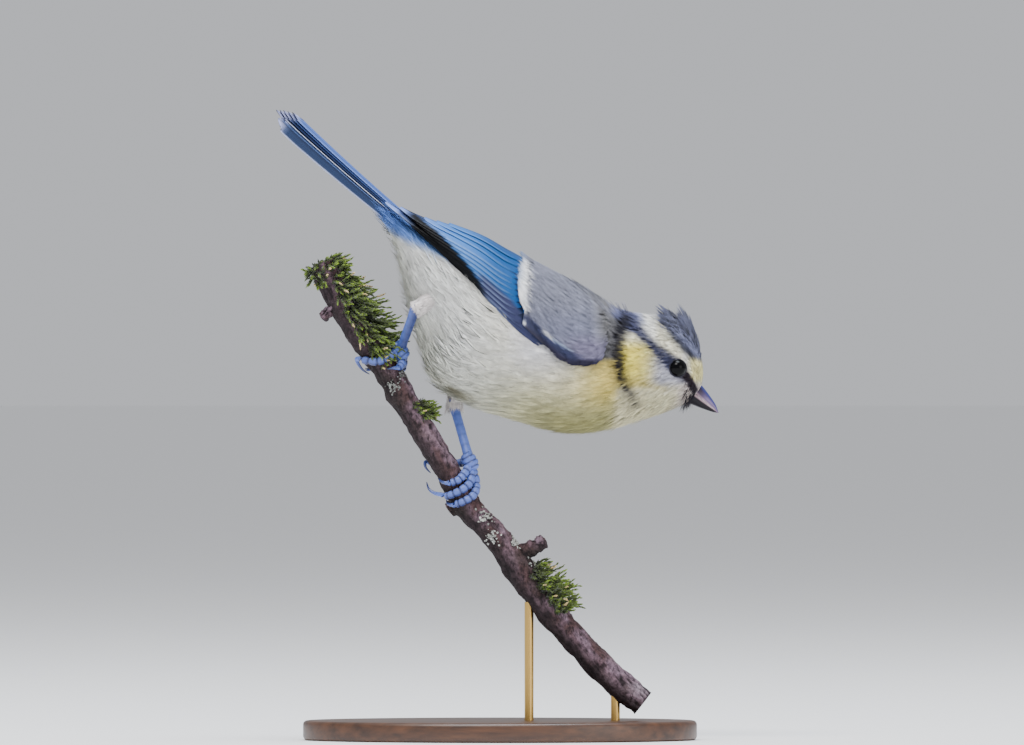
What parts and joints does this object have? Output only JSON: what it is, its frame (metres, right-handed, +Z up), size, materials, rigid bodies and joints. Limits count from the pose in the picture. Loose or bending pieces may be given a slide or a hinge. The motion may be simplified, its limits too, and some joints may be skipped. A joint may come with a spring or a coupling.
{
  "type": "bird model on a perch",
  "caption": "Life-size model of a young blue tit leaning head-down from a mossy, lichened twig, gripping it with both feet, on a small oval display stand.",
  "frame": {"origin": "centre of the underside of the stand's oval base", "axes": "+Z up; +X the way the bird faces; -Y the bird's right side, which the picture shows; row frame in metres"},
  "size_m": [0.0947, 0.052, 0.1322],
  "materials": {
    "plumage": "soft matt feathers, white to pale yellow",
    "head": "soft matt feathers, yellow cheek, slate cap",
    "wing": "smooth satin flight feathers, blue and slate",
    "tail": "smooth satin tail feathers, blue with pale edges",
    "bill": "smooth horn, dark grey-purple",
    "eye": "wet glossy black",
    "leg": "scaled skin, light blue",
    "claw": "smooth horn, slate blue",
    "bark": "rough purplish-brown bark",
    "moss": "soft green moss",
    "wood": "dark stained wood, satin",
    "brass": "satin brass"
  },
  "bodies": {
    "root": {"rump": "plumage", "belly": "plumage", "breast": "plumage", "neck": "plumage", "head": "head", "eye_right": "eye", "eye_left": "eye", "bill_upper": "bill", "bill_lower": "bill", "tail": "tail", "wing_right": "wing", "wing_left": "wing", "thigh_right": "plumage", "shank_right": "leg", "foot_right": "leg", "claw_right_1": "claw", "claw_right_2": "claw", "claw_right_3": "claw", "claw_right_4": "claw", "thigh_left": "plumage", "shank_left": "leg", "foot_left": "leg", "claw_left_1": "claw", "claw_left_2": "claw", "claw_left_3": "claw", "claw_left_4": "claw", "perch_twig": "bark", "perch_moss_top": "moss", "perch_moss_side": "moss", "perch_moss_small": "moss", "perch_moss_low": "moss", "stand_base": "wood", "stand_rod_front": "brass", "stand_rod_rear": "brass"}
  },
  "joints": []
}
